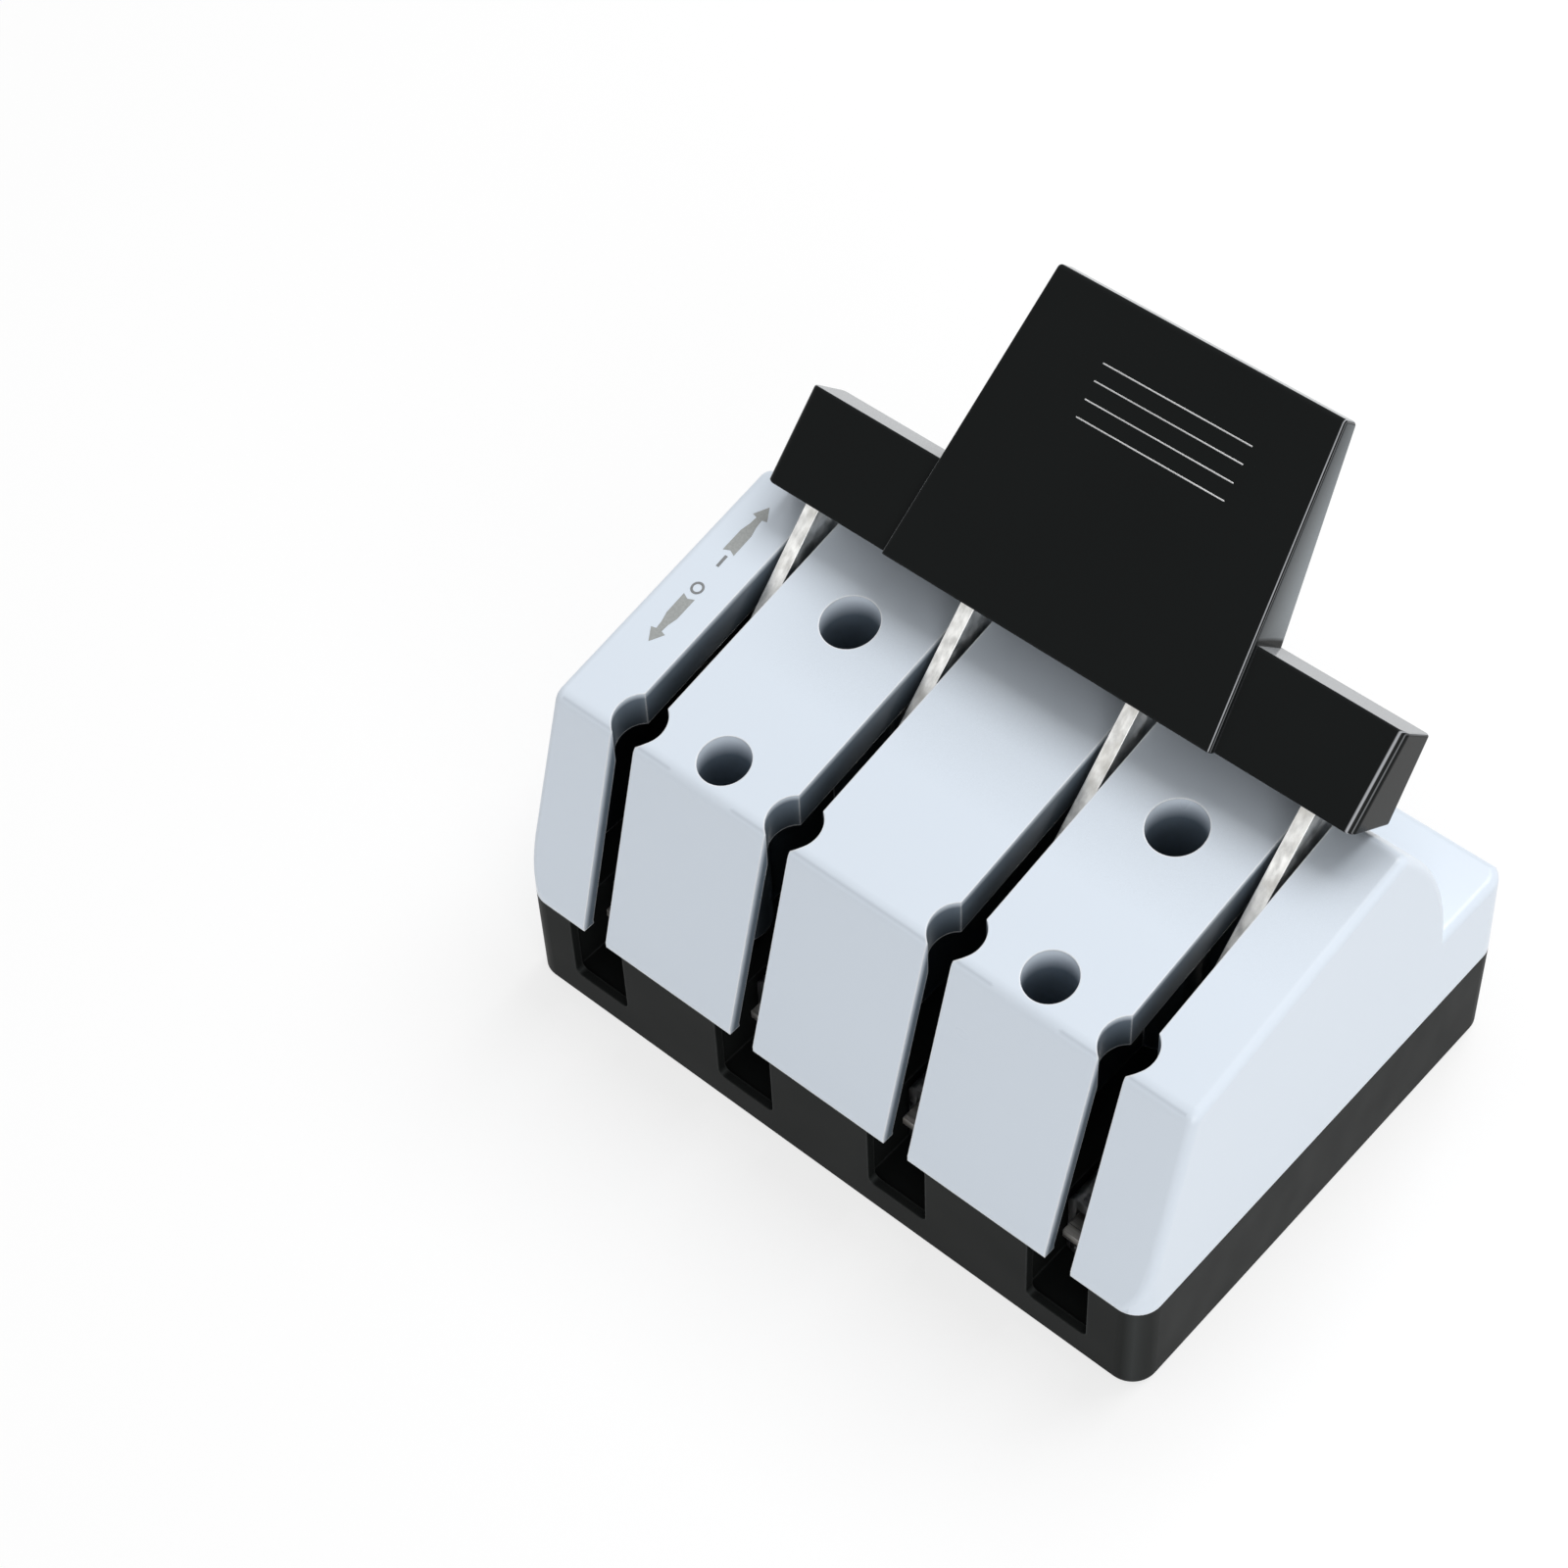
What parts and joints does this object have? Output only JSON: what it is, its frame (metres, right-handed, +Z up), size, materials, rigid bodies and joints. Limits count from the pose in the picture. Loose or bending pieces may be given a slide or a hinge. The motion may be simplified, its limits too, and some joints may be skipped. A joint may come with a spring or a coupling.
{
  "type": "knife disconnect switch",
  "caption": "Multi-pole knife switch with a black base, a slotted pale cover and a black crossbar handle that swings copper blades into sprung jaws.",
  "frame": {"origin": "centre of the base's footprint, at its underside", "axes": "+X across the poles, +Y from the hinge terminals to the jaw terminals, +Z up from the mounting surface"},
  "size_m": [0.126, 0.092, 0.114],
  "materials": {
    "base_black": "satin moulded",
    "cover_pale": "glossy moulded",
    "handle_black": "glossy moulded",
    "contact_copper": "rolled strip",
    "steel": "zinc plated"
  },
  "bodies": {
    "housing": {"base": "base_black", "cover": "cover_pale", "hinge_contact_1": "contact_copper", "hinge_contact_2": "contact_copper", "hinge_contact_3": "contact_copper", "hinge_contact_4": "contact_copper", "jaw_contact_1": "contact_copper", "jaw_contact_2": "contact_copper", "jaw_contact_3": "contact_copper", "jaw_contact_4": "contact_copper", "hinge_pin_1": "steel", "hinge_pin_2": "steel", "hinge_pin_3": "steel", "hinge_pin_4": "steel", "jaw_spring_1": "steel", "jaw_spring_2": "steel", "jaw_spring_3": "steel", "jaw_spring_4": "steel", "clamp_front_1": "steel", "clamp_front_2": "steel", "clamp_front_3": "steel", "clamp_front_4": "steel", "clamp_rear_1": "steel", "clamp_rear_2": "steel", "clamp_rear_3": "steel", "clamp_rear_4": "steel", "clamp_screw_front_1": "steel", "clamp_screw_front_2": "steel", "clamp_screw_front_3": "steel", "clamp_screw_front_4": "steel", "clamp_screw_rear_1": "steel", "clamp_screw_rear_2": "steel", "clamp_screw_rear_3": "steel", "clamp_screw_rear_4": "steel", "hinge_contact_screws": "steel", "jaw_contact_screws": "steel", "cover_screws": "steel"},
    "handle_and_blades": {"handle": "handle_black", "blade_1": "contact_copper", "blade_2": "contact_copper", "blade_3": "contact_copper", "blade_4": "contact_copper"}
  },
  "joints": [
    {"name": "handle_hinge", "type": "hinge", "parent": "housing", "child": "handle_and_blades", "pos_m": [0, -0.0215, 0.0355], "axis": [1, 0, 0], "range_deg": [-36.5, 54]}
  ]
}
